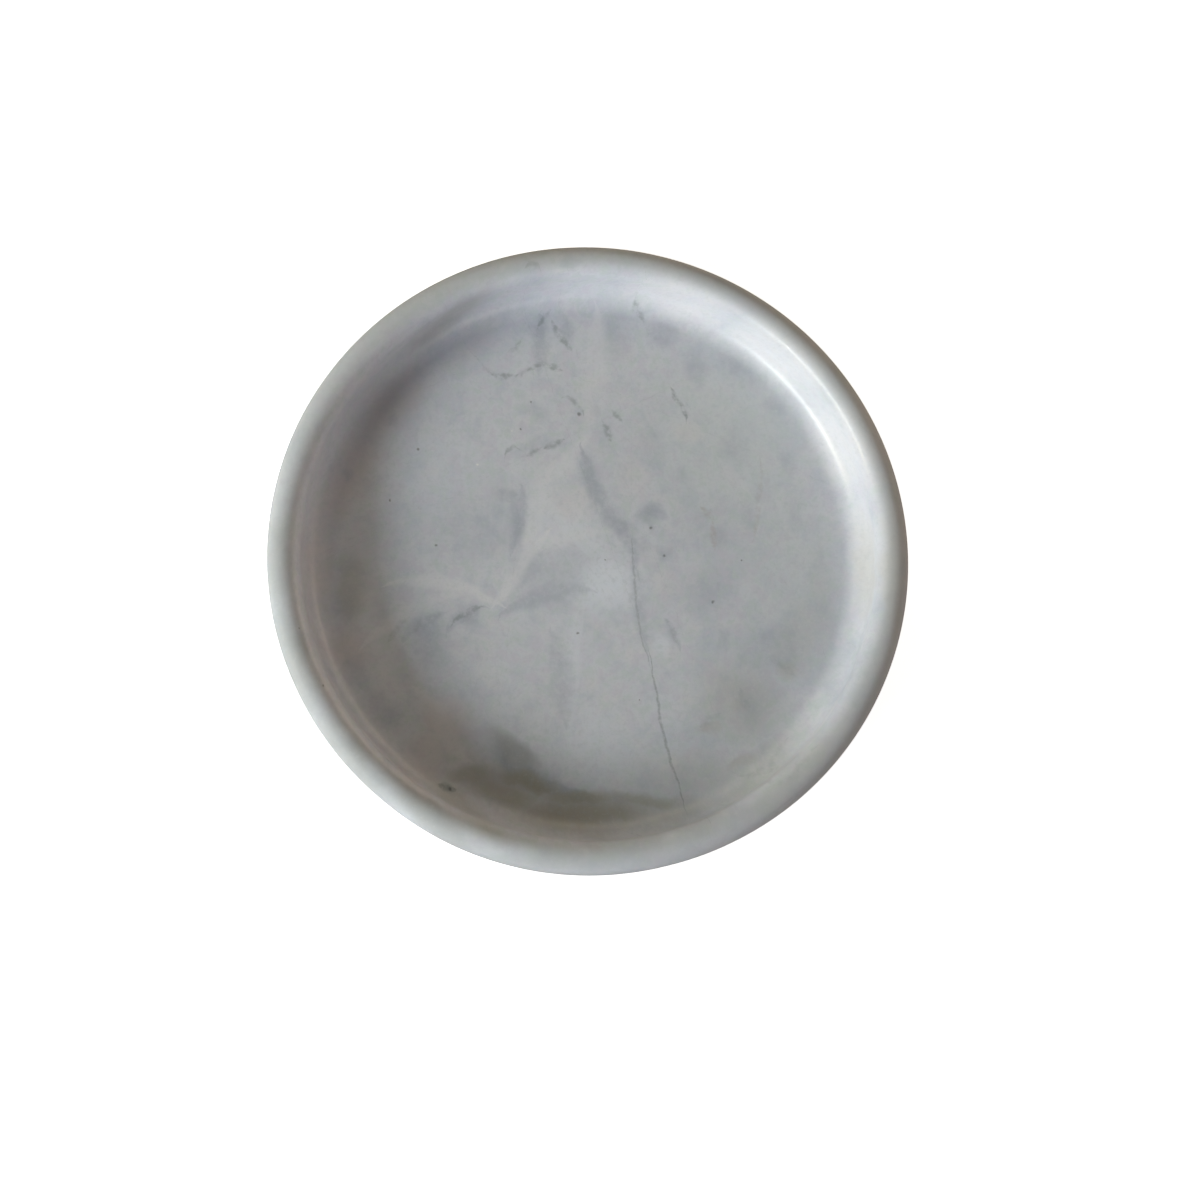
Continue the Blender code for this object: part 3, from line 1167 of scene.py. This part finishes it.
felt_material = wool_felt()
film_material = milky_adhesive()
for pad in pads:
    pad.data.materials.clear()
    pad.data.materials.append(felt_material)
for film in films:
    film.data.materials.append(film_material)
print("pads and films are dressed")

# %% [markdown]
# ## The light
#
# The stone tells where its light came from. The inner wall at the lower left lies
# in shade and the one at the upper right glows, so a broad window stood to the
# lower left, not very high. A second, bluer strip above it is the sky through that
# window, and dim warm surfaces stood on the other sides. Each is an area light one
# metre away. How wide and high it looks from the plate, in degrees, and how bright
# it looks give its size and its watts, and none of them shows to the camera.

# %% Hang the lights
LIGHT_DISTANCE = 1.0
# Name: azimuth round from +X, elevation, width and height in degrees, brightness
LIGHTS = {
    "window": (207, 19, 24, 12, (17.2, 17.3, 16.1)),
    "window_left_part": (190, 19, 11, 12, (9.6, 8.2, 3.9)),
    "window_right_part": (225, 19, 12, 12, (10.2, 11.6, 12.8)),
    "window_sky": (203, 29, 33, 8, (9.0, 10.9, 11.5)),
    "wall_in_front": (296, 23, 46, 16, (3.0, 2.8, 2.5)),
    "table_right": (38, 8, 46, 13, (3.9, 3.1, 2.2)),
    "wall_behind": (95, 44, 30, 20, (1.85, 1.7, 1.3)),
    "wall_left": (155, 44, 30, 20, (1.6, 1.45, 1.05)),
}


def area_light(name, azimuth, elevation, wide, high, brightness):
    """A rectangular light that faces the plate and fills an angle seen from it."""
    strongest = max(brightness)
    lamp = bpy.data.lights.new(name, "AREA")
    lamp.shape = "RECTANGLE"
    lamp.size = 2 * LIGHT_DISTANCE * math.tan(math.radians(wide) / 2)
    lamp.size_y = 2 * LIGHT_DISTANCE * math.tan(math.radians(high) / 2)
    lamp.energy = lamp.size * lamp.size_y * math.pi * strongest
    lamp.color = [value / strongest for value in brightness]
    around = math.radians(azimuth)
    above = math.radians(elevation)
    level = math.cos(above)
    towards = Vector((math.cos(around) * level, math.sin(around) * level, math.sin(above)))
    stand = in_scene(name, lamp)
    stand.location = towards * LIGHT_DISTANCE
    stand.rotation_mode = "QUATERNION"
    stand.rotation_quaternion = towards.to_track_quat("Z", "Y")
    stand.visible_camera = False
    return stand


lamps = [area_light(name, *place) for name, place in LIGHTS.items()]
for lamp in lamps:
    print(f"{lamp.name}: {lamp.data.energy:.2f} W")

# %% [markdown]
# The floor is a plain pale sheet. To the camera it adds some light of its own, as
# a lit studio table does, so the plate stands on near white with only a breath of
# shadow. Everything else meets a duller, warmer sheet, because the stone's outer
# edge in the photograph mirrors something brown. The sky is split in the same way:
# white to the camera, and dim to the stone.

# %% Lay the floor and set the sky
FLOOR_SIDE = 6.0
FLOOR_DROP = 0.05 * MILLIMETRE
FLOOR_SEEN = (0.90, 0.90, 0.90, 1)
FLOOR_DULL = (0.25, 0.20, 0.175, 1)
FLOOR_GLOW = 0.84
SKY_SEEN = (1.0, 1.0, 1.0, 1)
SKY_DIM = (0.03, 0.03, 0.03, 1)


def show_by_ray(bench, dull, seen):
    """Sends one shader to the camera's own rays and the other to all the rest."""
    to_camera = bench.node("ShaderNodeLightPath")
    mixed = bench.node("ShaderNodeMixShader", {}, {0: to_camera, 1: dull, 2: seen})
    output = next(node for node in bench.tree.nodes if node.type.startswith("OUTPUT"))
    bench.feed(output.inputs["Surface"], mixed)


def floor_material():
    """Near white to the camera, dull and warm to the light that bounces off it."""
    bench = Bench(bpy.data.materials.new("pale_floor"))
    bench.tree.nodes.remove(bench.shader)
    seen = bench.node("ShaderNodeBsdfDiffuse", {}, {"Color": FLOOR_SEEN})
    glow = bench.node("ShaderNodeEmission", {}, {"Color": SKY_SEEN, "Strength": FLOOR_GLOW})
    dull = bench.node("ShaderNodeBsdfDiffuse", {}, {"Color": FLOOR_DULL})
    lit = bench.node("ShaderNodeAddShader", {}, {0: seen, 1: glow})
    show_by_ray(bench, dull, lit)
    return bench.owner


floor_form = bmesh.new()
bmesh.ops.create_grid(floor_form, x_segments=1, y_segments=1, size=FLOOR_SIDE / 2)
bmesh.ops.translate(floor_form, verts=floor_form.verts, vec=(0, 0, -FLOOR_DROP))
floor = in_scene("floor", mesh_from(floor_form, "floor"))
floor.data.materials.append(floor_material())

sky = Bench(bpy.data.worlds.new("sky"))
sky.tree.nodes.remove(sky.tree.nodes["Background"])
sky_seen = sky.node("ShaderNodeBackground", {}, {"Color": SKY_SEEN})
sky_dim = sky.node("ShaderNodeBackground", {}, {"Color": SKY_DIM})
show_by_ray(sky, sky_dim, sky_seen)
bpy.context.scene.world = sky.owner
bpy.context.scene.view_settings.view_transform = "Standard"
bpy.context.scene.view_settings.look = "None"
print("floor and sky are in place")
